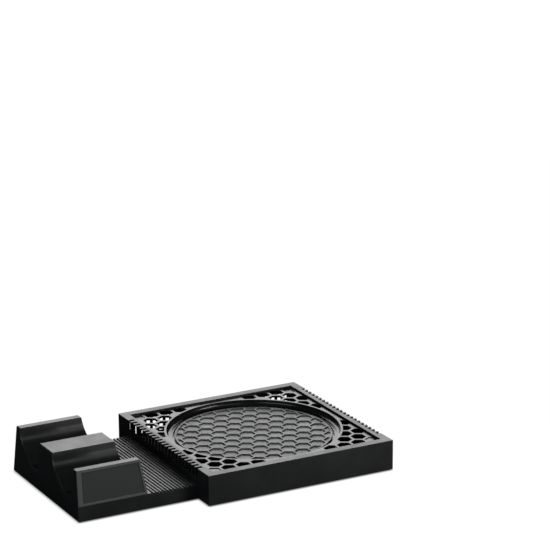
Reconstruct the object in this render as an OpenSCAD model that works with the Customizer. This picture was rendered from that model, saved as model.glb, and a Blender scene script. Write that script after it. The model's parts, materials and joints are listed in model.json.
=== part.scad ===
// Charging stand for an upright game console and two controllers.
// A square tray with a honeycomb grille takes the console's round foot in a coved recess.
// Beside it a low dock holds two controllers in leaning troughs with charging contacts.
// All heights are given from the lower edge of the housings, which stands stand_gap
// above the table on rubber feet. X runs to the right, Y to the back and Z up. The origin
// is on the table, in the middle of the stand's outline.

/* [Stand] */
// Height of the housings' lower edge above the table
stand_gap = 0.8; // [0.4:0.1:3]
// Width and depth of the square tray
tray_w = 167; // [150:1:190]
// Height of the tray's walls
tray_h = 25; // [20:0.1:40]
// Width of the dock, left of the tray
dock_w = 102.8; // [90:0.1:130]
// Depth of the dock
dock_d = 130; // [120:1:160]
// Height of the dock's slab and of its ribbed deck
deck_h = 12.4; // [10:0.1:18]
// Height of the three ridges
ridge_h = 41; // [30:0.5:60]

/* [Tray shell] */
// Thickness of the tray's walls
tray_wall = 2; // [1.6:0.1:4]
// Width of the flat rim on top of the walls
rim_w = 7.5; // [5:0.5:12]
// Thickness of the rim
rim_t = 1.6; // [1.2:0.1:3]

/* [Comb slots] */
// Spacing of the slots in the walls
slot_pitch = 5.94; // [4:0.01:10]
// Width of one slot
slot_w = 3.5; // [2:0.1:5]
// Plain length of the side walls at each corner
side_plain = 17.5; // [12:0.5:40]
// Height of the side slots' sills
side_sill = 17.2; // [8:0.1:20]
// Depth of the slots in the rim on the dock's side
slot_depth_left = 4.8; // [2:0.1:6]
// Depth of the slots in the rim on the outer side
slot_depth_right = 3.6; // [2:0.1:6]
// Plain length of the rear wall at each corner
rear_plain = 6; // [5:0.5:40]
// Height of the rear slots' sills
rear_sill = 4.2; // [3:0.1:10]
// Height of the rear slots' heads
rear_head = 16.5; // [10:0.1:20]
// Wall left behind the slots, thinned from inside
comb_wall = 1.1; // [0.8:0.1:2]

/* [Grille] */
// Thickness of the grille plate under the rim
plate_t = 2; // [1.6:0.1:4]
// Spacing of the hexagonal cells along X
cell_pitch_x = 13.1; // [8:0.1:20]
// Spacing of the rows of cells along Y
cell_pitch_y = 11.7; // [7:0.1:18]
// Width of the ribs between the open cells
grille_rib = 2.3; // [1.5:0.1:4]
// Depth of the blind cell in each corner
blind_d = 0.6; // [0.3:0.1:1.5]

/* [Recess] */
// Distance from the rim's inner edge to the recess
recess_edge = 4.5; // [3:0.1:10]
// Width of the ring round the recess
ring_w = 2; // [1:0.1:4]
// Height of the flat shelf round the pad
shelf_h = 18.5; // [15:0.1:22]
// Radius of the cove between the recess wall and the shelf
cove_r = 3; // [1:0.1:4]
// Width of the flat shelf between the recess wall and the well of the pad
shelf_w = 5.1; // [3:0.1:12]
// Height of the well's floor
well_h = 16.2; // [12:0.1:20]

/* [Console pad] */
// Gap all round between the pad and its well
pad_gap = 1.5; // [0.5:0.1:3]
// Thickness of the pad
pad_t = 3.1; // [1.5:0.1:4]
// Spacing of the pad's hexagonal pockets along X
pad_pitch_x = 13.3; // [8:0.1:20]
// Spacing of the rows of pockets along Y
pad_pitch_y = 11.6; // [7:0.1:18]
// Shift of the pockets off the pad's middle, to the right and to the back
pad_shift = [1.7, 1.5]; // [-6:0.1:6]
// Depth of the pockets in the pad
pocket_d = 1; // [0.4:0.1:2]
// Width of the ribs between the pockets
pad_rib = 1.6; // [1:0.1:3]
// Width of the plain lip round the pad
lip_w = 1.6; // [0.8:0.1:3]

/* [Troughs] */
// Width of a trough at the top
trough_w = 39.6; // [30:0.1:44]
// Height of the troughs' floors
floor_h = 15.8; // [13:0.1:20]
// Height of the knee where the back wall turns into the slope
knee_h = 31; // [22:0.5:36]
// Lean of the back wall from the top to the knee
knee_lean = 1; // [0:0.1:4]
// Run of the back wall and slope from the top to the floor
slope_run = 19.8; // [12:0.1:24]
// Depth of the flat floor
floor_run = 12.6; // [9:0.1:20]
// Radius of the bend at the knee
knee_r = 14; // [2:0.5:20]
// Radius of the bend at the foot of the slope
foot_r = 5; // [1:0.5:8]
// Radius of the bend at the foot of the front wall
toe_r = 2.5; // [0.5:0.5:6]

/* [Ridges] */
// Depth of the rear ridge's top
rear_ridge_d = 7.2; // [6:0.1:12]
// Depth of the front ridge's top
front_ridge_d = 6.9; // [6:0.1:12]
// Width of the ridges' tops, measured from the dock's left end
ridge_len = 54; // [40:0.1:70]
// Extra length of the ridges at their foot, from the sloped right ends
ridge_slope = 5; // [0:0.1:12]
// Lean of the dock's back from the table to the top
back_lean = 9.6; // [0:0.1:16]
// Lean of the front ridge's face
front_lean = 2.2; // [0:0.1:6]
// Depth of the sunk panel in the front ridge
panel_d = 0.6; // [0.4:0.1:1.6]
// Border left of the sunk panel
panel_left = 4.4; // [2:0.1:10]
// Border right of the sunk panel
panel_right = 2; // [1:0.1:6]
// Border above and below the sunk panel
panel_edge = 2.2; // [1:0.1:6]

/* [Ribbed deck] */
// Spacing of the deck's fine ribs
rib_pitch = 3; // [2:0.1:6]
// Width of the grooves between the ribs
groove_w = 1.4; // [0.8:0.1:2]
// Depth of the grooves
groove_d = 1; // [0.4:0.1:2]
// Grooves in the deck
groove_n = 13; // [4:1:16]
// Plain border between the ridges' feet and the first groove
deck_border = 4.2; // [2:0.1:8]

/* [Dock shell] */
// Thickness of the dock's walls
dock_wall = 2.2; // [1.8:0.1:4]
// Thickness of the deck above the hollow
deck_t = 2.8; // [2:0.1:4]

/* [Base covers] */
// Thickness of both base covers
cover_t = 2.4; // [2:0.1:4]
// Wall left outside the covers
cover_ledge = 1.1; // [0.8:0.1:2]
// Clearance round the covers
cover_gap = 0.2; // [0.1:0.05:0.5]
// Diameter of the rubber feet
foot_d = 14; // [8:0.5:20]
// Depth of the feet's seats in the covers
foot_seat = 0.6; // [0.3:0.1:1.2]
// Distance of the feet's middles from the housings' sides
foot_in = 17; // [10:0.5:30]

/* [Screws] */
// Diameter of the case screws
screw_d = 2.8; // [2:0.1:4]
// Diameter of the case screws' heads
head_d = 5.4; // [4:0.1:8]
// Height of the case screws' heads
head_h = 1.4; // [1:0.1:3]
// Thread length of the case screws in their bosses
thread_len = 6; // [4:0.5:10]
// Diameter of the bosses
boss_d = 6.6; // [5:0.1:9]
// Distance of the tray's screws from its middle, along X
screw_x = 20; // [10:0.5:30]
// Distance of the tray's bosses from its front and rear walls
boss_off = 1.7; // [0.5:0.1:4]
// Diameter of the small board screws
board_screw_d = 1.8; // [1.4:0.1:3]
// Diameter of the board screws' heads
board_head_d = 3.6; // [2.5:0.1:5]
// Thread length of the board screws in their posts
board_thread = 4; // [2:0.5:4.5]

/* [Charging board] */
// Width of the board
board_w = 34; // [28:0.5:38]
// Thickness of the board
board_t = 1.6; // [1:0.1:2]
// Height of the board's underside
board_h = 7; // [5:0.1:9]
// Distance of the board from the dock's front
board_front = 17; // [8:0.5:22]
// Clearance between the board's rear end and the dock's back wall
board_rear = 2; // [1:0.1:6]
// Side of the charging chip on the board
chip_w = 6; // [4:0.5:10]

/* [Contacts] */
// Width of a contact block
block_w = 20; // [12:0.5:30]
// Depth of a contact block
block_d = 8; // [5:0.1:10]
// Height of the block above the trough's floor
block_rise = 1.8; // [0.5:0.1:4]
// Clearance round the block in the trough's floor
block_gap = 0.2; // [0.1:0.05:0.5]
// Diameter of a contact pin
pin_d = 1.8; // [1:0.1:3]
// Height of the pins above the block
pin_rise = 1; // [0.4:0.1:2]
// Pins in each block
pin_n = 4; // [2:1:6]
// Spacing of the pins
pin_pitch = 4; // [2.5:0.1:8]

/* [Power inlet] */
// Width of the socket's metal shell
inlet_w = 9; // [7:0.1:12]
// Height of the socket's metal shell
inlet_h = 3.2; // [2.5:0.1:5]
// Depth of the socket
inlet_len = 10.6; // [7:0.1:14]
// Thickness of the socket's metal shell
inlet_t = 0.35; // [0.2:0.05:0.8]
// Clearance of the wall's opening round the socket
inlet_gap = 0.25; // [0.1:0.05:0.6]

/* [Hidden] */
$fn = 96;
// Small overlap that keeps cuts clean
eps = 0.5;
// Middle of the tray along X
tray_cx = dock_w / 2;
// Left end of the dock
dock_x0 = -(dock_w + tray_w) / 2;
// Face where the dock and the tray meet
dock_x1 = dock_x0 + dock_w;
// Middle of the troughs along X
bay_cx = dock_x0 + (ridge_len + ridge_slope / 2) / 2 - 1;
// Underside of the rim, where the grille plate is clamped
plate_top = tray_h - rim_t;
// Underside of the grille plate
plate_bot = plate_top - plate_t;
// Half size of the opening inside the rim
open_half = tray_w / 2 - rim_w;
// Half size of the tray's inside
tray_in = tray_w / 2 - tray_wall;
// Radius of the recess for the console's foot
recess_r = open_half - recess_edge;
// Radius of the well that holds the pad
well_r = recess_r - shelf_w;
// Clearance of the grille plate in the tray
plate_gap = 0.2;
// Number of slots in each side wall and in the rear wall
side_slots = floor((tray_w - 2 * side_plain) / slot_pitch);
rear_slots = floor((tray_w - 2 * rear_plain) / slot_pitch);
// Half length of the slotted stretch of the side walls
comb_half = (side_slots - 1) * slot_pitch / 2 + slot_w / 2;
// Half length of the slotted stretch of the rear wall
rear_half = (rear_slots - 1) * slot_pitch / 2 + slot_w / 2;
// Y of the two troughs' back walls, at the top
trough_ys = [
    dock_d / 2 - back_lean - rear_ridge_d,
    -dock_d / 2 + front_lean + front_ridge_d + trough_w
];
// Middle of a trough's flat floor, from its back wall, moved off the larger bend
floor_mid = slope_run + floor_run / 2 - 0.2;
// Slope of the trough between knee and floor
slope_m = (knee_h - floor_h) / (slope_run - knee_lean);
slope_a = atan(slope_m);
// Lean of the trough's front wall, per millimetre of height
front_m = (trough_w - slope_run - floor_run) / (ridge_h - floor_h);
// Lean of the dock's back, per millimetre of height
back_m = back_lean / ridge_h;
// Angle of the front ridge's face
face_a = atan(front_lean / (ridge_h - deck_h));
// Screws that hold the tray's cover and the grille plate
tray_screws_at = [
    for (sx = [-1, 1], sy = [-1, 1])
        [tray_cx + sx * screw_x, sy * (tray_in - boss_d / 2 - boss_off)]
];
// Middle of the dock's bosses from its ends, so that they merge with the walls
boss_in = dock_wall + boss_d / 2 - 0.6;
// Screws that hold the dock's cover: two under the troughs, two under the deck
dock_screws_at = [
    [dock_x0 + boss_in, trough_ys[1] - floor_mid],
    [dock_x0 + boss_in, trough_ys[0] - floor_mid],
    [dock_x1 - boss_in, -dock_d / 2 + foot_in - boss_d],
    [dock_x1 - boss_in, dock_d / 2 - foot_in + boss_d]
];
// Screws that hold the board under the troughs' floors
board_screws_at = [
    for (sx = [-1, 1], y = trough_ys) [bay_cx + sx * (board_w / 2 - board_head_d), y - floor_mid]
];
// Screws that join the tray to the dock
join_ys = [for (s = [-1, 0, 1]) s * (dock_d / 2 - foot_in - head_d) * 0.9];
// Height of those screws
join_h = (deck_h - deck_t + cover_t) / 2 + 0.6;
// Feet of the tray and of the dock
tray_feet_at = [
    for (sx = [-1, 1], sy = [-1, 1])
        [tray_cx + sx * (tray_w / 2 - foot_in), sy * (tray_w / 2 - foot_in)]
];
dock_feet_at = [
    for (x = [dock_x0 + foot_in, dock_x1 - foot_in], sy = [-1, 1]) [x, sy * (dock_d / 2 - foot_in)]
];
// Height of the board's top
board_top = board_h + board_t;
// Front and rear end of the board
board_y0 = -dock_d / 2 + board_front;
board_y1 = dock_d / 2 - back_m * board_top - dock_wall * sqrt(1 + back_m * back_m) - board_rear;
// Height of the dock's hollow under the troughs
hollow_h = floor_h - dock_wall;
// Centres of a honeycomb's cells within reach; every second row is offset by half a cell
function honeycomb(pitch_x, pitch_y, reach) =
    let (rows = floor(reach / pitch_y), columns = floor(reach / pitch_x) + 1)
    [
        for (j = [-rows : rows], i = [-columns : columns])
            [(i + (abs(j) % 2 == 0 ? 0.5 : 0)) * pitch_x, j * pitch_y]
    ];
// Cells of the grille inside the rim
lattice = [for (c = honeycomb(cell_pitch_x, cell_pitch_y, open_half)) if (abs(c[0]) < open_half) c];
// Radius of the pad
pad_r = well_r - pad_gap;
// Pockets of the pad
pockets = [
    for (h = honeycomb(pad_pitch_x, pad_pitch_y, pad_r + pad_pitch_y))
        let (c = h + pad_shift)
            if (norm(c) < pad_r - lip_w + pad_pitch_x / 3) c
];
// Whether a cell lies in one of the four corners
function in_corner(c) =
    abs(c[0]) > open_half - 0.6 * cell_pitch_x && abs(c[1]) > open_half - 0.6 * cell_pitch_y;
// Cells outside the ring: the four in the corners are blind, the others open
outer_cells = [for (c = lattice) if (norm(c) > recess_r + ring_w + 0.6) c];
corner_cells = [for (c = outer_cells) if (in_corner(c)) c];
open_cells = [for (c = outer_cells) if (!in_corner(c)) c];

// Colours
c_case = [0.10, 0.10, 0.11];
c_grille = [0.12, 0.12, 0.13];
c_rubber = [0.16, 0.16, 0.17];
c_steel = [0.62, 0.63, 0.65];
c_brass = [0.83, 0.66, 0.30];
c_board = [0.09, 0.30, 0.16];
c_chip = [0.05, 0.05, 0.06];

// Raises a piece from the housings' own zero height to its place above the table.
module on_stand() {
    translate([0, 0, stand_gap]) children();
}

// Box centred in X and Y with its underside at z0 and its top at z1.
module slab(w, d, z0, z1) {
    translate([-w / 2, -d / 2, z0]) cube([w, d, z1 - z0]);
}

// Upright round bar.
module bar(d, z0, z1) {
    translate([0, 0, z0]) cylinder(d = d, h = z1 - z0, $fn = 48);
}

// Upright hexagonal prism with two flats square to X, by its width across flats.
module hex_bar(w, z0, z1) {
    translate([0, 0, z0]) rotate(30) cylinder(d = w / cos(30), h = z1 - z0, $fn = 6);
}

// Profile drawn in Y and Z, drawn out along X from x0 to x1.
module along_x(x0, x1) {
    translate([x0, 0, 0]) rotate([90, 0, 90]) linear_extrude(x1 - x0) children();
}

// Fills an inside corner of a profile with a tangent bend of radius r. The two walls leave
// the corner in the directions a1 and a2, in degrees.
module bend(corner, r, a1, a2) {
    half = (a2 - a1) / 2;
    t = r / tan(half);
    middle = [cos(a1 + half), sin(a1 + half)];
    mid = corner + r / sin(half) * middle;
    // The fill reaches a little into the walls, so that it always joins them
    deep = corner - eps * middle;
    difference() {
        polygon([deep, corner + t * [cos(a1), sin(a1)], mid, corner + t * [cos(a2), sin(a2)]]);
        translate(mid) circle(r = r);
    }
}

// One row of slots along Y, cut through a wall that stands at X = 0.
module slot_row(n, depth, z0, z1) {
    for (i = [0 : n - 1])
        translate([-depth, (i - (n - 1) / 2) * slot_pitch - slot_w / 2, z0])
            cube([depth + eps, slot_w, z1 - z0]);
}

// Square frame with a flat rim, slotted side walls and slots low in the rear wall.
module tray_housing() {
    color(c_case) on_stand() translate([tray_cx, 0, 0]) difference() {
        slab(tray_w, tray_w, 0, tray_h);
        // Hollow under the rim and the opening inside it
        slab(2 * tray_in, 2 * tray_in, -eps, plate_top);
        slab(2 * open_half, 2 * open_half, 0, tray_h + eps);
        // Rebate for the base cover
        slab(tray_w - 2 * cover_ledge, tray_w - 2 * cover_ledge, -eps, cover_t);
        // Comb of slots through the rim and both side walls
        translate([tray_w / 2, 0, 0])
            slot_row(side_slots, slot_depth_right, side_sill, tray_h + eps);
        rotate(180) translate([tray_w / 2, 0, 0])
            slot_row(side_slots, slot_depth_left, side_sill, tray_h + eps);
        // Slots low in the rear wall
        rotate(90) translate([tray_w / 2, 0, 0])
            slot_row(rear_slots, tray_wall + eps, rear_sill, rear_head);
        // Walls thinned behind the slots
        translate([0, 0, side_sill - 1.2])
            slab(tray_w - 2 * comb_wall, 2 * comb_half + 2, 0, plate_top - side_sill + 1.2);
        translate([0, tray_in - eps, rear_sill - 0.8])
            slab(2 * rear_half + 2, 2 * (tray_wall - comb_wall + eps), 0, rear_head - rear_sill + 1.6);
        // Holes for the screws into the dock
        for (y = join_ys)
            translate([-tray_w / 2 - eps, y, join_h]) rotate([0, 90, 0])
                bar(screw_d, 0, tray_wall + 2 * eps);
    }
}

// The open hexagonal cells in the four corners, kept off the ring and inside the rim.
module open_lattice(z0, z1) {
    difference() {
        intersection() {
            slab(2 * open_half, 2 * open_half, z0, z1);
            union() {
                for (c = open_cells) translate(c) hex_bar(cell_pitch_x - grille_rib, z0, z1);
            }
        }
        translate([0, 0, z0 - eps]) cylinder(r = recess_r + ring_w, h = z1 - z0 + 2 * eps);
    }
}

// Room of the recess: a straight wall, a cove and a flat shelf, all turned about the middle.
module recess_room() {
    rotate_extrude() {
        translate([0, shelf_h]) square([recess_r - cove_r, plate_top + eps - shelf_h]);
        translate([0, shelf_h + cove_r]) square([recess_r, plate_top + eps - shelf_h - cove_r]);
        translate([recess_r - cove_r, shelf_h + cove_r]) circle(r = cove_r);
    }
}

// Honeycomb plate with the coved recess, clamped under the rim.
module grille_plate() {
    half = tray_in - plate_gap;
    ears = half - tray_w / 2 + slot_depth_left + 1;
    color(c_grille) on_stand() translate([tray_cx, 0, 0]) difference() {
        union() {
            slab(2 * half, 2 * half, plate_bot, plate_top);
            translate([0, 0, well_h - plate_t])
                cylinder(r = recess_r + ring_w, h = plate_top - well_h + plate_t);
            // Bosses that carry the cover screws
            for (p = tray_screws_at)
                translate([p[0] - tray_cx, p[1], 0]) bar(boss_d, cover_t, plate_bot + eps);
        }
        // Relief beside both combs, so that the slots stay open
        for (sx = [-1, 1])
            translate([sx * half, 0, 0])
                slab(2 * ears, 2 * comb_half + 4, plate_bot - eps, plate_top + eps);
        open_lattice(plate_bot - eps, plate_top + eps);
        // Blind cell in each corner
        intersection() {
            slab(2 * open_half, 2 * open_half, plate_top - blind_d, plate_top + eps);
            union() {
                for (c = corner_cells)
                    translate(c) hex_bar(cell_pitch_x - grille_rib, plate_top - blind_d, plate_top + eps);
            }
        }
        recess_room();
        translate([0, 0, well_h]) cylinder(r = well_r, h = shelf_h - well_h + eps);
        for (p = tray_screws_at)
            translate([p[0] - tray_cx, p[1], 0]) bar(screw_d, cover_t - eps, cover_t + thread_len);
    }
}

// Soft round pad with a lattice of hexagonal pockets, lying in the well.
module console_pad() {
    top = well_h + pad_t;
    color(c_rubber) on_stand() translate([tray_cx, 0, 0]) difference() {
        translate([0, 0, well_h]) cylinder(r = pad_r, h = pad_t);
        intersection() {
            translate([0, 0, top - pocket_d]) cylinder(r = pad_r - lip_w, h = pocket_d + eps);
            union() {
                for (c = pockets)
                    translate(c) hex_bar(pad_pitch_x - pad_rib, top - pocket_d, top + eps);
            }
        }
    }
}

// Cover plate with sunk seats for screw heads and feet.
module cover_plate(x0, x1, half_d, screws, feet) {
    difference() {
        translate([x0, -half_d, 0]) cube([x1 - x0, 2 * half_d, cover_t]);
        for (p = screws) translate(p) {
            bar(screw_d + 0.4, -eps, cover_t + eps);
            bar(head_d + 0.6, -eps, head_h + 0.1);
        }
        for (p = feet) translate(p) bar(foot_d, -eps, foot_seat);
    }
}

// Flat cover under the tray.
module tray_cover() {
    half = tray_w / 2 - cover_ledge - cover_gap;
    color(c_case) on_stand()
        cover_plate(tray_cx - half, tray_cx + half, half, tray_screws_at, tray_feet_at);
}

// Flat cover under the dock.
module dock_cover() {
    side = cover_ledge + cover_gap;
    color(c_case) on_stand()
        cover_plate(
            dock_x0 + side, dock_x1 - side, dock_half_in() - cover_gap, dock_screws_at, dock_feet_at
        );
}

// Half depth of the rebate for the dock's cover, inside the leaning back.
function dock_half_in() = dock_d / 2 - back_m * cover_t - cover_ledge;

// Rubber feet in their seats, down to the table.
module feet(places) {
    color(c_rubber) for (p = places) translate(p) bar(foot_d, 0, stand_gap + foot_seat);
}

module tray_feet() feet(tray_feet_at);
module dock_feet() feet(dock_feet_at);

// Pan-headed screws, driven upwards through a cover into bosses.
module cover_screws(places) {
    color(c_steel) on_stand() for (p = places) translate(p) difference() {
        union() {
            bar(head_d, 0.1, head_h + 0.1);
            bar(screw_d, head_h, cover_t + thread_len);
        }
        // Cross slot in the head
        for (a = [0, 90]) rotate(a) slab(3, 0.7, -eps, 0.8);
    }
}

module tray_screws() cover_screws(tray_screws_at);
module dock_screws() cover_screws(dock_screws_at);

// Screws through the tray's left wall into the dock's end.
module join_screws() {
    top = tray_wall + head_h;
    color(c_steel) on_stand() for (y = join_ys)
        translate([dock_x1, y, join_h]) rotate([0, 90, 0]) difference() {
            union() {
                bar(screw_d, -thread_len, tray_wall);
                bar(head_d, tray_wall, top);
            }
            // Cross slot in the head
            for (a = [0, 90]) rotate(a) slab(3, 0.7, top - 0.8, top + eps);
        }
}

// Outline of one trough from its back wall's top to its front wall's top.
function trough_line(y) = [
    [y, ridge_h],
    [y - knee_lean, knee_h],
    [y - slope_run, floor_h],
    [y - slope_run - floor_run, floor_h],
    [y - trough_w, ridge_h]
];

// Bends in the three inside corners of one trough.
module trough_bends(y) {
    wall_a = atan((ridge_h - knee_h) / knee_lean);
    toe_a = 180 - atan(1 / front_m);
    bend([y - knee_lean, knee_h], knee_r, wall_a, 180 + slope_a);
    bend([y - slope_run, floor_h], foot_r, slope_a, 180);
    bend([y - slope_run - floor_run, floor_h], toe_r, 0, toe_a);
}

// Solid outline of the dock's three ridges, seen from its left end.
module ridge_outline() {
    polygon(concat(
        [[-dock_d / 2, 0], [dock_d / 2, 0], [dock_d / 2 - back_lean, ridge_h]],
        trough_line(trough_ys[0]),
        trough_line(trough_ys[1]),
        [[-dock_d / 2 + front_lean, ridge_h], [-dock_d / 2, deck_h]]
    ));
    for (y = trough_ys) trough_bends(y);
}

// Underside of one trough's skin, from back to front.
function skin_line(y) =
    let (w = dock_wall,
        drop = w / cos(slope_a),
        knee_z = knee_h - drop + slope_m * w,
        low_y = knee_lean + (knee_h - drop - hollow_h) / slope_m,
        lean_w = w * sqrt(1 + front_m * front_m),
        toe_y = slope_run + floor_run - front_m * w + lean_w)
    [
        [y + w, ridge_h - w],
        [y - knee_lean + w, knee_z],
        [y - low_y, hollow_h],
        [y - toe_y, hollow_h],
        [y - toe_y - front_m * (ridge_h - w - hollow_h), ridge_h - w]
    ];

// Hollow inside the ridges, open at the bottom.
module ridge_hollow() {
    w = dock_wall;
    back_w = w * sqrt(1 + back_m * back_m);
    polygon(concat(
        [
            [-dock_d / 2 + w, -1],
            [dock_d / 2 - back_w + back_m, -1],
            [dock_d / 2 - back_w - back_m * (ridge_h - w), ridge_h - w]
        ],
        skin_line(trough_ys[0]),
        skin_line(trough_ys[1]),
        [[-dock_d / 2 + w + front_lean, ridge_h - w], [-dock_d / 2 + w, deck_h]]
    ));
}

// Everything right of the ridges' sloped ends, above height z0, moved left by inset.
module right_of_ridges(z0, inset) {
    foot = dock_x0 + ridge_len + ridge_slope - inset;
    m = ridge_slope / (ridge_h - deck_h);
    z1 = ridge_h + 2;
    x1 = dock_x1 + 5;
    translate([0, dock_d, 0]) rotate([90, 0, 0]) linear_extrude(2 * dock_d)
        polygon([[foot - m * (z0 - deck_h), z0], [foot - m * (z1 - deck_h), z1], [x1, z1], [x1, z0]]);
}

// Shallow panel sunk in the front ridge's leaning face.
module front_panel() {
    x0 = dock_x0 + panel_left;
    x1 = dock_x0 + ridge_len + ridge_slope - panel_right;
    up = (ridge_h - deck_h) / cos(face_a);
    z0 = panel_edge;
    z1 = up - panel_edge;
    m = ridge_slope / up;
    translate([0, -dock_d / 2, deck_h]) rotate([-face_a, 0, 0])
        translate([0, panel_d, 0]) rotate([90, 0, 0]) linear_extrude(panel_d + 2)
            polygon([[x0, z0], [x1 - m * z0, z0], [x1 - m * z1, z1], [x0, z1]]);
}

// Outline of the opening for the socket and of the socket itself, drawn in X and Z.
module inlet_outline(grow) {
    r = inlet_h / 2 + grow;
    for (s = [-1, 1]) translate([s * (inlet_w - inlet_h) / 2, 0]) circle(r = r, $fn = 48);
    translate([-(inlet_w - inlet_h) / 2, -r]) square([inlet_w - inlet_h, 2 * r]);
}

// Sets a profile in X and Z at the socket's place and draws it out from y0 to y1.
module at_inlet(y0, y1) {
    translate([bay_cx, y1, board_top + inlet_h / 2]) rotate([90, 0, 0])
        linear_extrude(y1 - y0) children();
}

// Housing with three ridges, two troughs and a ribbed deck.
module dock_housing() {
    w = dock_wall;
    deck_x0 = dock_x0 + ridge_len - 8;
    groove_x0 = dock_x0 + ridge_len + ridge_slope + deck_border;
    color(c_case) on_stand() difference() {
        union() {
            difference() {
                along_x(dock_x0, dock_x1) ridge_outline();
                right_of_ridges(deck_h, 0);
                // Hollow under the ridges
                difference() {
                    along_x(dock_x0 + w, dock_x1) ridge_hollow();
                    right_of_ridges(-5, w);
                }
                // Hollow under the deck
                translate([deck_x0, -dock_d / 2 + w, -1])
                    cube([dock_x1 - w - deck_x0, dock_d - 2 * w - back_m * deck_h, deck_h - deck_t + 1]);
            }
            // Bosses for the cover screws
            for (i = [0 : 3]) translate(dock_screws_at[i])
                bar(boss_d, cover_t, i < 2 ? hollow_h + eps : deck_h - deck_t + eps);
            // Posts for the board
            for (p = board_screws_at) translate(p) bar(board_head_d + 1.4, board_top, hollow_h + eps);
            // Bosses for the screws from the tray
            for (y = join_ys)
                translate([dock_x1 - w, y, join_h]) rotate([0, -90, 0])
                    bar(boss_d, -eps, thread_len + 1);
        }
        // Rebate for the base cover
        translate([dock_x0 + cover_ledge, -dock_half_in(), -1])
            cube([dock_w - 2 * cover_ledge, 2 * dock_half_in(), cover_t + 1]);
        // Fine grooves of the deck
        for (i = [0 : groove_n - 1])
            translate([groove_x0 + i * rib_pitch - groove_w / 2, -dock_d, deck_h - groove_d])
                cube([groove_w, 2 * dock_d, ridge_h]);
        front_panel();
        // Openings for the contact blocks
        for (y = trough_ys)
            translate([bay_cx, y - floor_mid, 0])
                slab(block_w + 2 * block_gap, block_d + 2 * block_gap, hollow_h - eps, floor_h + 6);
        // Opening for the socket
        at_inlet(dock_d / 2 - 8, dock_d / 2 + 2) inlet_outline(inlet_gap);
        // Screw holes
        for (p = dock_screws_at) translate(p) bar(screw_d, cover_t - eps, cover_t + thread_len);
        for (p = board_screws_at) translate(p)
            bar(board_screw_d, board_top - eps, board_top + board_thread);
        for (y = join_ys)
            translate([dock_x1 + eps, y, join_h]) rotate([0, -90, 0]) bar(screw_d, 0, thread_len + eps);
    }
}

// Board under the troughs, with holes for its screws.
module charge_board() {
    color(c_board) on_stand() difference() {
        translate([bay_cx - board_w / 2, board_y0, board_h])
            cube([board_w, board_y1 - board_y0, board_t]);
        for (p = board_screws_at) translate(p) bar(board_screw_d, board_h - eps, board_top + eps);
    }
}

// Plain components on top of the board, between the contact blocks.
module board_chips() {
    color(c_chip) on_stand() {
        translate([bay_cx - chip_w, -chip_w, board_top]) cube([chip_w, chip_w, 1.1]);
        translate([bay_cx + chip_w / 2, board_y1 - 3 * chip_w, board_top]) cube([chip_w, chip_w, 1.1]);
        for (k = [2, 3])
            translate([bay_cx - chip_w, -k * chip_w, board_top]) cube([chip_w / 2, chip_w / 4, 0.8]);
        translate([bay_cx + chip_w, -chip_w / 2, board_top]) bar(chip_w * 0.8, 0, chip_w / 2);
    }
}

// Small screws from below the board into the posts.
module board_screws() {
    color(c_steel) on_stand() for (p = board_screws_at) translate(p) {
        bar(board_head_d, board_h - board_head_d / 3, board_h);
        bar(board_screw_d, board_h, board_top + board_thread);
    }
}

// Contact block that stands on the board and comes up through a trough's floor.
module contact_block(y) {
    top = floor_h + block_rise;
    color(c_case) on_stand() translate([bay_cx, y - floor_mid, 0]) difference() {
        slab(block_w, block_d, board_top, top);
        for (i = [0 : pin_n - 1])
            translate([(i - (pin_n - 1) / 2) * pin_pitch, 0, 0]) bar(pin_d, board_top + 1, top + eps);
    }
}

// Row of round-ended pins in a contact block.
module contact_pins(y) {
    top = floor_h + block_rise + pin_rise;
    color(c_brass) on_stand() translate([bay_cx, y - floor_mid, 0])
        for (i = [0 : pin_n - 1])
            translate([(i - (pin_n - 1) / 2) * pin_pitch, 0, 0]) {
                bar(pin_d, board_top + 1, top - pin_d / 2 + 0.3);
                translate([0, 0, top - pin_d / 2]) intersection() {
                    sphere(d = pin_d, $fn = 48);
                    bar(pin_d, 0, pin_d);
                }
            }
}

module contact_block_front() contact_block(trough_ys[1]);
module contact_block_rear() contact_block(trough_ys[0]);
module contact_pins_front() contact_pins(trough_ys[1]);
module contact_pins_rear() contact_pins(trough_ys[0]);

// Rear end of the socket, just inside the leaning back.
function inlet_y1() = dock_d / 2 - back_m * (board_top + inlet_h) - 0.2;

// Metal shell of the power socket, open to the back.
module inlet_shell() {
    color(c_steel) on_stand() difference() {
        at_inlet(inlet_y1() - inlet_len, inlet_y1()) inlet_outline(0);
        at_inlet(inlet_y1() - inlet_len - eps, inlet_y1() + eps) inlet_outline(-inlet_t);
    }
}

// Insulating core of the socket with its tongue.
module inlet_tongue() {
    core = 3;
    color(c_chip) on_stand() {
        at_inlet(inlet_y1() - inlet_len, inlet_y1() - inlet_len + core) inlet_outline(-inlet_t);
        translate([bay_cx - 3.3, inlet_y1() - inlet_len + core - eps, board_top + inlet_h / 2 - 0.35])
            cube([6.6, inlet_len - core - 1, 0.7]);
    }
}

tray_housing();
grille_plate();
console_pad();
tray_cover();
tray_feet();
tray_screws();
dock_housing();
dock_cover();
dock_feet();
dock_screws();
join_screws();
charge_board();
board_chips();
board_screws();
contact_block_front();
contact_block_rear();
contact_pins_front();
contact_pins_rear();
inlet_shell();
inlet_tongue();
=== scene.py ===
import json
import math

import bmesh
import bpy
import numpy as np
from mathutils import Matrix, Vector


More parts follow.
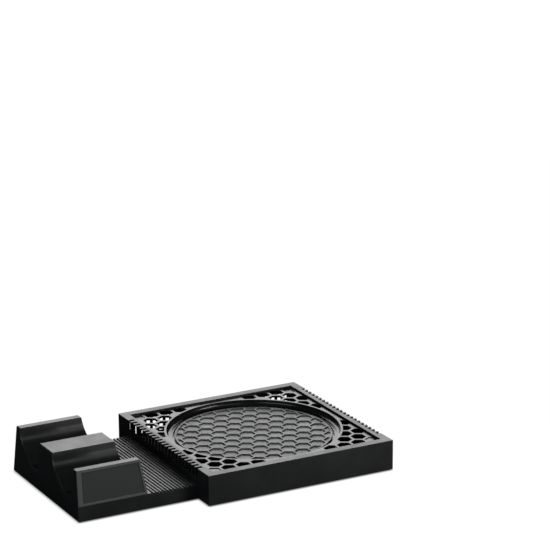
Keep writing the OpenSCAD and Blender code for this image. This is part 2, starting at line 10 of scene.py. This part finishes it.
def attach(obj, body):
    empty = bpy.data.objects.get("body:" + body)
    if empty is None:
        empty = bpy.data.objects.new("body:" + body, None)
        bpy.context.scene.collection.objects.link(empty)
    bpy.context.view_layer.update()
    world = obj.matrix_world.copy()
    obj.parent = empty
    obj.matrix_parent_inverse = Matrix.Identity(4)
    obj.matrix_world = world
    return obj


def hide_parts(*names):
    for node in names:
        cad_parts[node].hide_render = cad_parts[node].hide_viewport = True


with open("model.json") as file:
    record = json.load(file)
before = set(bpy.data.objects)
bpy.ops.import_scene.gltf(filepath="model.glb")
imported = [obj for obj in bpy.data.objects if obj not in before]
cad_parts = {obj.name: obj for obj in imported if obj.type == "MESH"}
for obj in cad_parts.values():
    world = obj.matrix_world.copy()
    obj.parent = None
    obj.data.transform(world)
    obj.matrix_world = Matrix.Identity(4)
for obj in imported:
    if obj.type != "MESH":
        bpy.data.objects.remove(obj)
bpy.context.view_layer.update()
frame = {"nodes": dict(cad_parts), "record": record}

# Lengths are in millimetres unless a comment says otherwise. GROUND is the height of the
# housings' lower edge above the table, TRAY_X the middle of the tray that the camera is tied to
MM = 0.001
GROUND = 0.8
TRAY_X = 50.9
scene = bpy.context.scene


# Camera: azimuth, elevation, roll, focal length in pixels of a 550 x 550 image, and the
# shift and distance of its seat from the tray's middle
AZ, EL, ROLL = math.radians(-28.1652), math.radians(16.4342), math.radians(-0.3521)
FOCAL_PX, IMAGE_PX, SENSOR = 2530.05, 550, 36.0
SHIFT_X, SHIFT_Y, DISTANCE = 18.8175, 148.3539, 2083.75
CLIP_END_M = 20


def add_camera():
    back = Vector((math.sin(AZ) * math.cos(EL), -math.cos(AZ) * math.cos(EL), math.sin(EL)))
    level = Vector((math.cos(AZ), math.sin(AZ), 0))
    upright = back.cross(level)
    right = level * math.cos(ROLL) + upright * math.sin(ROLL)
    up = upright * math.cos(ROLL) - level * math.sin(ROLL)
    place = back * DISTANCE + level * SHIFT_X + upright * SHIFT_Y + Vector((TRAY_X, 0, GROUND))
    cam = bpy.data.cameras.new("camera")
    cam.sensor_width = SENSOR
    cam.sensor_fit = "HORIZONTAL"
    cam.lens = FOCAL_PX / IMAGE_PX * SENSOR
    cam.clip_end = CLIP_END_M
    obj = bpy.data.objects.new("camera", cam)
    turn = Matrix((right, up, back)).transposed().to_4x4()
    obj.matrix_world = Matrix.Translation(place * MM) @ turn
    scene.collection.objects.link(obj)
    scene.camera = obj


add_camera()


# Materials
class Graph:
    """Short hand for building a material's nodes."""

    def __init__(self, name):
        self.mat = bpy.data.materials.new(name)
        self.mat.use_nodes = True
        self.nodes = self.mat.node_tree.nodes
        self.links = self.mat.node_tree.links
        self.shader = self.nodes["Principled BSDF"]
        self.coord = self.add("ShaderNodeTexCoord").outputs["Object"]

    def add(self, kind, inputs=None, **settings):
        node = self.nodes.new(kind)
        for key, value in settings.items():
            setattr(node, key, value)
        for key, value in (inputs or {}).items():
            self.put(node.inputs[key], value)
        return node

    def put(self, socket, value):
        if isinstance(value, bpy.types.NodeSocket):
            self.links.new(value, socket)
        else:
            socket.default_value = value

    def noise(self, scale, detail=2.0, rough=0.5):
        inputs = {"Vector": self.coord, "Scale": scale, "Detail": detail, "Roughness": rough}
        return self.add("ShaderNodeTexNoise", inputs).outputs["Fac"]

    def voronoi(self, scale):
        node = self.add("ShaderNodeTexVoronoi", {"Vector": self.coord, "Scale": scale})
        return node.outputs["Distance"]

    def remap(self, value, low, high, to_low, to_high):
        node = self.add("ShaderNodeMapRange", {"Value": value, "From Min": low, "From Max": high,
                                               "To Min": to_low, "To Max": to_high})
        return node.outputs["Result"]

    def math(self, how, a, b):
        return self.add("ShaderNodeMath", {0: a, 1: b}, operation=how).outputs[0]

    def mix(self, factor, a, b):
        node = self.add("ShaderNodeMix", {"Factor": factor}, data_type="RGBA")
        self.put(node.inputs[6], a)
        self.put(node.inputs[7], b)
        return node.outputs[2]

    def attribute(self, name):
        return self.add("ShaderNodeAttribute", attribute_name=name).outputs["Fac"]

    def bump(self, height, distance, strength=1.0, under=None):
        node = self.add("ShaderNodeBump", {"Height": height, "Distance": distance, "Strength": strength})
        if under is not None:
            self.put(node.inputs["Normal"], under)
        return node.outputs["Normal"]


def rgb(v, tint=(1, 1, 1)):
    return (v * tint[0], v * tint[1], v * tint[2], 1)


# Grey of the faces at matt = 1, paler than the case, and how much rougher the faces get between matt = 0
# and 1
PALE_GREY_VALUE, PALE_GREY_ETCH = 0.12, 1.2


def moulded(name, value, tint, rough, grain_mm, depth_mm, spread=0.05, wear_and_highlight=0.5, spec=0.5):
    """Moulded plastic or rubber: spark-eroded grain, faint flow marks, handling marks, and paler rounded
    edges that are partly abrasion and partly a painted highlight.
    """
    g = Graph(name)
    flow = g.noise(14, 3, 0.55)
    smudge = g.noise(55, 4, 0.6)
    grain = g.noise(1 / (grain_mm * MM), 3, 0.6)
    pits = g.voronoi(1 / (grain_mm * 1.7 * MM))
    dark, pale = rgb(value * 0.88, tint), rgb(value * 1.14, tint)
    tone = g.mix(g.remap(flow, 0.35, 0.65, 0, 1), dark, pale)
    speck = g.mix(g.remap(grain, 0.55, 0.8, 0, 0.5), tone, rgb(value * 1.5, tint))
    # Paler rounded edges: partly abrasion, partly a highlight painted along every rounded edge
    rubbed_and_highlight = g.math("MULTIPLY", g.attribute("wear_and_highlight"), g.remap(smudge, 0.42, 0.72, 0.1 * wear_and_highlight, wear_and_highlight))
    worn_and_highlight = g.mix(rubbed_and_highlight, speck, rgb(value * 2.6 + 0.01, tint))
    # Faces with matt above 0 turn towards a paler grey
    matt = g.attribute("matt")
    g.put(g.shader.inputs["Base Color"], g.mix(matt, worn_and_highlight, rgb(PALE_GREY_VALUE)))
    sheen = g.remap(smudge, 0.3, 0.7, rough - spread, rough + spread)
    polished = g.math("SUBTRACT", sheen, g.math("MULTIPLY", rubbed_and_highlight, 0.1))
    etched = g.math("MULTIPLY", matt, g.math("SUBTRACT", PALE_GREY_ETCH, g.math("MULTIPLY", matt, PALE_GREY_ETCH)))
    g.put(g.shader.inputs["Roughness"], g.math("ADD", etched, polished))
    low = g.bump(pits, depth_mm * MM, 0.6)
    g.put(g.shader.inputs["Normal"], g.bump(grain, depth_mm * MM, 0.8, low))
    g.shader.inputs["Specular IOR Level"].default_value = spec
    g.shader.inputs["IOR"].default_value = 1.5
    return g.mat


def metal(name, color, rough, brush_mm):
    """Plated metal with turning marks and a little tarnish."""
    g = Graph(name)
    stretched = g.add("ShaderNodeMapping", {"Vector": g.coord, "Scale": (1, 1, 6)}).outputs[0]
    inputs = {"Vector": stretched, "Scale": 1 / (brush_mm * MM), "Detail": 3}
    marks = g.add("ShaderNodeTexNoise", inputs).outputs["Fac"]
    tarnish = g.noise(260, 3)
    deep = tuple(c * 0.7 for c in color[:3]) + (1,)
    g.put(g.shader.inputs["Base Color"], g.mix(g.remap(tarnish, 0.4, 0.7, 0, 0.7), color, deep))
    g.put(g.shader.inputs["Roughness"], g.remap(marks, 0.3, 0.7, rough - 0.08, rough + 0.1))
    g.put(g.shader.inputs["Normal"], g.bump(marks, 0.01 * MM, 0.5))
    g.shader.inputs["Metallic"].default_value = 1.0
    return g.mat


# Slot: name, grey value, tint, roughness, grain size and depth, spread of the sheen, paling of the edges
# by abrasion and painted highlight, specular
MATS = {
    "case": moulded("case_plastic", 0.014, (1, 1.02, 1.05), 0.35, 0.22, 0.010, 0.05, 0.9),
    "grille": moulded("grille_plastic", 0.008, (1, 1, 1.02), 0.22, 0.20, 0.006, 0.03, 0.5),
    "pad": moulded("pad_rubber", 0.125, (1, 1, 1), 0.43, 0.30, 0.008, 0.05, 0.4, 1.0),
    "base": moulded("base_plastic", 0.009, (1, 1, 1.02), 0.7, 0.5, 0.03, 0.06, 0.4, 0.15),
    "feet": moulded("foot_rubber", 0.03, (1, 1, 1), 0.7, 0.4, 0.02, 0.08, 0.3),
    "steel": metal("zinc_steel", (0.56, 0.57, 0.58, 1), 0.32, 0.3),
    "board": moulded("solder_mask", 0.05, (0.35, 1.7, 0.8), 0.35, 0.8, 0.004, 0.05, 0.2),
    "chips": moulded("chip_plastic", 0.02, (1, 1, 1.02), 0.5, 0.3, 0.01, 0.05, 0.3),
    "blocks": moulded("block_plastic", 0.02, (1, 1, 1.02), 0.4, 0.25, 0.008, 0.05, 0.5),
    "contacts": metal("gold_plate", (0.83, 0.62, 0.27, 1), 0.24, 0.2),
}


# Pieces: the large CAD nodes are rebuilt with rounded edges
# Faces around a square hole, of up to this many sides and over this area in square metres, and
# the dock's undersides are split into convex parts, so that the rounding keeps them whole
FRAME_SIDES, FRAME_AREA = 24, 1e-5
# Points nearer than MERGE_M metres become one, and so do faces that meet within FLAT_DEG. Edges
# sharper than SHARP_DEG are rounded, and shading is smooth across edges up to SMOOTH_DEG
MERGE_M, FLAT_DEG, SHARP_DEG, SMOOTH_DEG = 1e-6, 0.6, 32, 28
ROUND_SEGMENTS = 3
# A face looks down or forwards if its normal goes more than FACING that way
FACING = 0.5


def dissolved(node):
    """The node's faces without the triangles' inner edges, as a bmesh."""
    bm = bmesh.new()
    bm.from_mesh(frame["nodes"][node].data)
    bmesh.ops.remove_doubles(bm, verts=bm.verts, dist=MERGE_M)
    bmesh.ops.dissolve_limit(bm, angle_limit=math.radians(FLAT_DEG), verts=bm.verts, edges=bm.edges)
    bmesh.ops.recalc_face_normals(bm, faces=bm.faces)
    framed = [f for f in bm.faces if len(f.verts) > 4 and f.calc_area() > FRAME_AREA
              and (len(f.verts) <= FRAME_SIDES or node == "dock_housing" and f.normal.z < -FACING)]
    bmesh.ops.connect_verts_concave(bm, faces=framed)
    return bm


def rounded(name, node, slot, radius, width_of=None):
    """A copy of a node whose sharp edges are rounded. width_of gives an edge its own radius."""
    bm = dissolved(node)
    layer = bm.edges.layers.float.new("bevel_weight_edge")
    limit = math.radians(SHARP_DEG)
    widest = radius
    for e in bm.edges:
        if len(e.link_faces) == 2 and e.calc_face_angle(0) > limit:
            width = radius if width_of is None else width_of(e, radius)
            widest = max(widest, width)
            e[layer] = width
    for e in bm.edges:
        e[layer] = e[layer] / widest
    mesh = bpy.data.meshes.new(name)
    bm.to_mesh(mesh)
    bm.free()
    mesh.materials.clear()
    # The second entry marks the rounded faces until mark_wear_and_highlight has read them; these faces
    # get the paler edges of abrasion and painted highlight
    for _ in range(2):
        mesh.materials.append(MATS[slot])
    obj = bpy.data.objects.new(name, mesh)
    scene.collection.objects.link(obj)
    mod = obj.modifiers.new("round", "BEVEL")
    mod.limit_method = "WEIGHT"
    mod.width = widest * MM
    mod.segments = ROUND_SEGMENTS
    mod.profile = 0.5
    mod.use_clamp_overlap = False
    mod.miter_outer = "MITER_SHARP"
    mod.material = 1
    deps = bpy.context.evaluated_depsgraph_get()
    done = bpy.data.meshes.new_from_object(obj.evaluated_get(deps))
    obj.modifiers.clear()
    obj.data = done
    done.name = name
    mark_wear_and_highlight(done)
    smooth(obj)
    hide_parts(node)
    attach(obj, "root")
    return obj


def mark_wear_and_highlight(mesh):
    """Vertices inside the rounded edges carry wear = 1, those of the flat faces 0; the mark pales the
    edges for abrasion and for a painted highlight.
    """
    wear_and_highlight = np.ones(len(mesh.vertices), np.float32)
    for poly in mesh.polygons:
        if poly.material_index == 0:
            for v in poly.vertices:
                wear_and_highlight[v] = 0
        poly.material_index = 0
    mesh.attributes.new("wear_and_highlight", "FLOAT", "POINT").data.foreach_set("value", wear_and_highlight)
    while len(mesh.materials) > 1:
        mesh.materials.pop()


def mark_matt(obj, level_of):
    """Faces with a paler grey carry matt = level_of(centre, normal), between 0 and 1."""
    level = np.zeros(len(obj.data.polygons), np.float32)
    for poly in obj.data.polygons:
        level[poly.index] = level_of(poly.center / MM, poly.normal)
    obj.data.attributes.new("matt", "FLOAT", "FACE").data.foreach_set("value", level)


def smooth(obj):
    """Smooth shading up to SMOOTH_DEG, with normals that keep the flat faces flat."""
    mesh = obj.data
    mesh.polygons.foreach_set("use_smooth", [True] * len(mesh.polygons))
    bm = bmesh.new()
    bm.from_mesh(mesh)
    for e in bm.edges:
        e.smooth = len(e.link_faces) == 2 and e.calc_face_angle(0) < math.radians(SMOOTH_DEG)
    bm.to_mesh(mesh)
    bm.free()
    mod = obj.modifiers.new("weights", "WEIGHTED_NORMAL")
    mod.weight = 80
    mod.keep_sharp = True


# The dock's left end, the front face's foot and lean, the deck's and the ridges' height above
# the housings' lower edge, and the lower limits of the ridges, the deck's fine ribs and the
# paler grey. Places within NEAR of each other are the same
DOCK_X0, FRONT_Y, FRONT_LEAN = -134.9, -65, 2.2
DECK_Z, RIDGE_Z = 12.4, 41
RIDGE_FROM_Z, RIBS_FROM_Z, RIBS_FROM_X, PALE_FROM_Z = 13.5, 11, -78, 12.1
NEAR = 0.01
# Radii of the dock's edges, the longest edge of a slot and the radius of a slot's edges
END_ROUND, RIDGE_ROUND, RIB_ROUND = 1.3, 0.5, 0.22
SLOT_EDGE, SLOT_ROUND = 18, 0.1
# Depths behind the front face up to which a face belongs to the border and to the panel,
# and the panel's share of the paler grey
BORDER_DEPTH, PANEL_DEPTH, PANEL_MATT = 0.3, 0.9, 0.15


def dock_width(edge, radius):
    """Troughs' left ends are rounded wide, ridges softly, the fine ribs hardly."""
    a, b = (v.co / MM for v in edge.verts)
    z = min(a.z, b.z) - GROUND
    if z > RIDGE_FROM_Z:
        at_end = abs(a.x - DOCK_X0) < NEAR and abs(b.x - DOCK_X0) < NEAR
        return END_ROUND if at_end else RIDGE_ROUND
    if z > RIBS_FROM_Z and max(a.x, b.x) > RIBS_FROM_X:
        return RIB_ROUND
    return radius


def tray_width(edge, radius):
    """The short edges of the slots are nearly sharp."""
    return SLOT_ROUND if edge.calc_length() < SLOT_EDGE * MM else radius


def front_pale_grey(at, normal):
    """Paler grey on the leaning front panel and, more so, on its border."""
    z = at.z - GROUND
    if z < PALE_FROM_Z or normal.y > -FACING:
        return 0
    depth = at.y - (FRONT_Y + FRONT_LEAN * (z - DECK_Z) / (RIDGE_Z - DECK_Z))
    if depth < BORDER_DEPTH:
        return 1
    return PANEL_MATT if depth < PANEL_DEPTH else 0


rounded("tray_frame", "tray_housing", "case", 0.3, tray_width)
rounded("grille", "grille_plate", "grille", 0.3)
rounded("pad", "console_pad", "pad", 0.25)
mark_matt(rounded("dock", "dock_housing", "case", 0.35, dock_width), front_pale_grey)
for slot, radius, nodes in (("base", 0.15, ("tray_cover", "dock_cover")),
                            ("feet", 0.3, ("tray_feet", "dock_feet"))):
    for node in nodes:
        rounded(node + "_soft", node, slot, radius)

for sub in frame["record"]["subparts"]:
    obj = frame["nodes"].get(sub["node"])
    if obj is not None:
        obj.data.materials.clear()
        obj.data.materials.append(MATS[sub["material_slot"]])


# Stage: floor, world and lamps
# The floor's contact shadow reaches this far. The floor's grey is painted light and shade, pale in
# front of the object and dark under and behind it, falling between two places along Y, in metres
CONTACT_MM, CONTACT_SAMPLES = 2.5, 16
FLOOR_Y, FLOOR_PAINTED_LIGHT = (-0.1, -0.05), (0.4, 0.06)
FLOOR_HALF_M = 8
WORLD_LIGHT, WORLD_SEEN = 0.04, 1.0


def floor_material():
    """Pale floor: white to the camera apart from the object's shadow."""
    mat = bpy.data.materials.new("floor")
    mat.use_nodes = True
    tree = mat.node_tree
    tree.nodes.clear()
    out = tree.nodes.new("ShaderNodeOutputMaterial")
    both = tree.nodes.new("ShaderNodeAddShader")
    diffuse = tree.nodes.new("ShaderNodeBsdfDiffuse")
    glow = tree.nodes.new("ShaderNodeEmission")
    path = tree.nodes.new("ShaderNodeLightPath")
    where = tree.nodes.new("ShaderNodeNewGeometry")
    axes = tree.nodes.new("ShaderNodeSeparateXYZ")
    # Painted light and shade on the floor: pale in front of the object, dark under and behind it
    tone = tree.nodes.new("ShaderNodeMapRange")
    for key, value in zip(("From Min", "From Max", "To Min", "To Max"), FLOOR_Y + FLOOR_PAINTED_LIGHT):
        tone.inputs[key].default_value = value
    tree.links.new(where.outputs["Position"], axes.inputs[0])
    tree.links.new(axes.outputs["Y"], tone.inputs["Value"])
    tree.links.new(tone.outputs["Result"], diffuse.inputs["Color"])
    nook = tree.nodes.new("ShaderNodeAmbientOcclusion")
    nook.inputs["Distance"].default_value = CONTACT_MM * MM
    nook.samples = CONTACT_SAMPLES
    shade = tree.nodes.new("ShaderNodeMath")
    shade.operation = "MULTIPLY"
    tree.links.new(nook.outputs["AO"], shade.inputs[0])
    tree.links.new(path.outputs["Is Camera Ray"], shade.inputs[1])
    tree.links.new(shade.outputs[0], glow.inputs["Strength"])
    tree.links.new(diffuse.outputs[0], both.inputs[0])
    tree.links.new(glow.outputs[0], both.inputs[1])
    tree.links.new(both.outputs[0], out.inputs["Surface"])
    return mat


def add_floor():
    bm = bmesh.new()
    bmesh.ops.create_grid(bm, x_segments=1, y_segments=1, size=FLOOR_HALF_M)
    mesh = bpy.data.meshes.new("floor")
    bm.to_mesh(mesh)
    bm.free()
    mesh.materials.append(floor_material())
    obj = bpy.data.objects.new("floor", mesh)
    scene.collection.objects.link(obj)


def add_world():
    """White to the camera, and a very weak light to everything else."""
    world = bpy.data.worlds.new("world")
    world.use_nodes = True
    scene.world = world
    tree = world.node_tree
    sky = tree.nodes["Background"]
    path = tree.nodes.new("ShaderNodeLightPath")
    level = tree.nodes.new("ShaderNodeMapRange")
    level.inputs["To Min"].default_value = WORLD_LIGHT
    level.inputs["To Max"].default_value = WORLD_SEEN
    tree.links.new(path.outputs["Is Camera Ray"], level.inputs["Value"])
    tree.links.new(level.outputs["Result"], sky.inputs["Strength"])
    sky.inputs["Color"].default_value = (1, 1, 1, 1)


def add_lamp(name, place, target, size, radiance, color=(1, 1, 1)):
    """Soft box of a given size in metres and brightness, aimed at a point."""
    data = bpy.data.lights.new(name, "AREA")
    data.shape = "RECTANGLE"
    data.size, data.size_y = size
    data.color = color
    data.energy = radiance * math.pi * size[0] * size[1]
    obj = bpy.data.objects.new(name, data)
    aim = Vector(target) - Vector(place)
    turn = aim.to_track_quat("-Z", "Y").to_matrix().to_4x4()
    obj.matrix_world = Matrix.Translation(Vector(place)) @ turn
    obj.visible_camera = False
    scene.collection.objects.link(obj)


add_floor()
add_world()
add_lamp("back_box", (0.75, 1.85, 0.75), (0.1, 0, 0), (1.7, 1.3), 2.5)
add_lamp("top_box", (0.1, 0.1, 1.7), (0, 0, 0), (1.0, 1.0), 0.1)
add_lamp("front_box", (0.5, -1.6, 0.9), (0, 0, 0), (1.6, 0.4), 1.6)
add_lamp("low_box", (1.0, -1.35, 0.16), (0, 0, 0.02), (0.7, 0.24), 13.0)
add_lamp("left_box", (-1.3, -0.75, 0.3), (0, 0, 0.02), (1.2, 0.5), 2.4, (0.75, 0.97, 1.0))

scene.view_settings.view_transform = "Standard"
